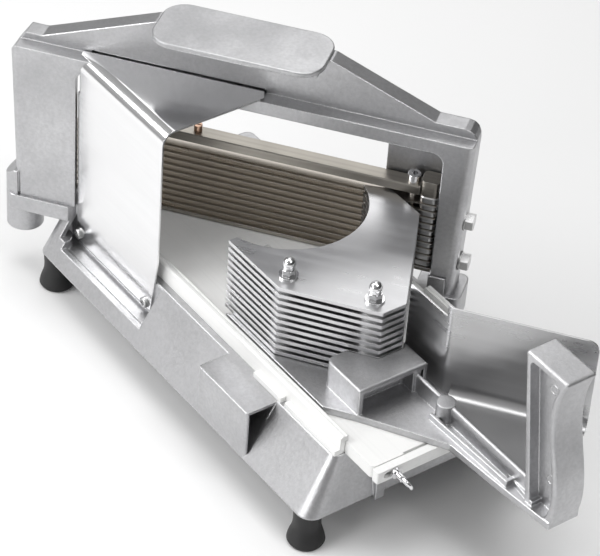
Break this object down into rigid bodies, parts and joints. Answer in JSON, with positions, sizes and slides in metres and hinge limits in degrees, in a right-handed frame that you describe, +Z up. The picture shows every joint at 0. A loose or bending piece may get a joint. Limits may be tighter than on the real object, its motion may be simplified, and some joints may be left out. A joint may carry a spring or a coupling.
{
  "type": "manual tomato slicer",
  "caption": "Cast aluminium bench slicer: a gripped pusher with a stack of mouthed fins slides along a plastic track and through a slanted frame of level blades.",
  "frame": {"origin": "on the table, under the middle of the whole slicer with its pusher at rest", "axes": "+Z up; +Y the way the pusher is pushed, away from the operator; +X the operator's right"},
  "size_m": [0.1998, 0.4464, 0.209],
  "materials": {
    "cast_aluminium": "tumbled casting, satin, fine grain",
    "rubber": "matt moulded rubber",
    "white_plastic": "machined white polyethylene",
    "blade_steel": "ground stainless strip",
    "fin_aluminium": "rolled sheet with milled edges",
    "bar_steel": "ground bar",
    "spacer_metal": "turned",
    "polished_sheet": "polished stainless sheet",
    "brushed_sheet": "brushed stainless sheet",
    "chrome": "bright plated",
    "zinc_steel": "bright zinc plate",
    "copper_screw": "copper coloured plating"
  },
  "bodies": {
    "base": {"base_casting": "cast_aluminium", "foot_near_left": "rubber", "foot_far_left": "rubber", "foot_near_right": "rubber", "foot_far_right": "rubber", "foot_screws": "zinc_steel", "track_board": "white_plastic", "rail_left": "white_plastic", "rail_right": "white_plastic", "track_screws": "zinc_steel", "track_end_bar": "white_plastic", "blade_frame": "cast_aluminium", "frame_bolts": "zinc_steel", "blade_top_bar": "bar_steel", "blade_bottom_bar": "bar_steel", "blade_spacers_left": "spacer_metal", "blade_spacers_right": "spacer_metal", "tie_rod_left": "zinc_steel", "tie_rod_right": "zinc_steel", "end_blocks": "bar_steel", "clamp_screws": "chrome", "bar_set_screw": "copper_screw", "tension_bolts": "zinc_steel", "side_guard": "polished_sheet", "side_guard_screws": "zinc_steel", "blade_01": "blade_steel", "blade_02": "blade_steel", "blade_03": "blade_steel", "blade_04": "blade_steel", "blade_05": "blade_steel", "blade_06": "blade_steel", "blade_07": "blade_steel", "blade_08": "blade_steel", "blade_09": "blade_steel", "blade_10": "blade_steel", "blade_11": "blade_steel"},
    "pusher": {"pusher_casting": "cast_aluminium", "fin_spacers": "spacer_metal", "fin_rod_left": "zinc_steel", "fin_rod_right": "zinc_steel", "fin_washers": "chrome", "acorn_nuts": "chrome", "guide_key": "white_plastic", "guide_key_screws": "zinc_steel", "hand_guard": "brushed_sheet", "hand_guard_screws": "zinc_steel", "fin_01": "fin_aluminium", "fin_02": "fin_aluminium", "fin_03": "fin_aluminium", "fin_04": "fin_aluminium", "fin_05": "fin_aluminium", "fin_06": "fin_aluminium", "fin_07": "fin_aluminium", "fin_08": "fin_aluminium", "fin_09": "fin_aluminium", "fin_10": "fin_aluminium", "fin_11": "fin_aluminium"},
    "eye_screw": {"eye_screw": "chrome"}
  },
  "joints": [
    {"name": "pusher_slide", "type": "slide", "parent": "base", "child": "pusher", "axis": [0, 1, 0], "range_m": [-0.03, 0.125]},
    {"name": "eye_screw_turn", "type": "hinge", "parent": "base", "child": "eye_screw", "pos_m": [-0.04957, -0.1288, 0.0656], "axis": [0, 1, 0], "range_deg": [-360, 0]}
  ]
}
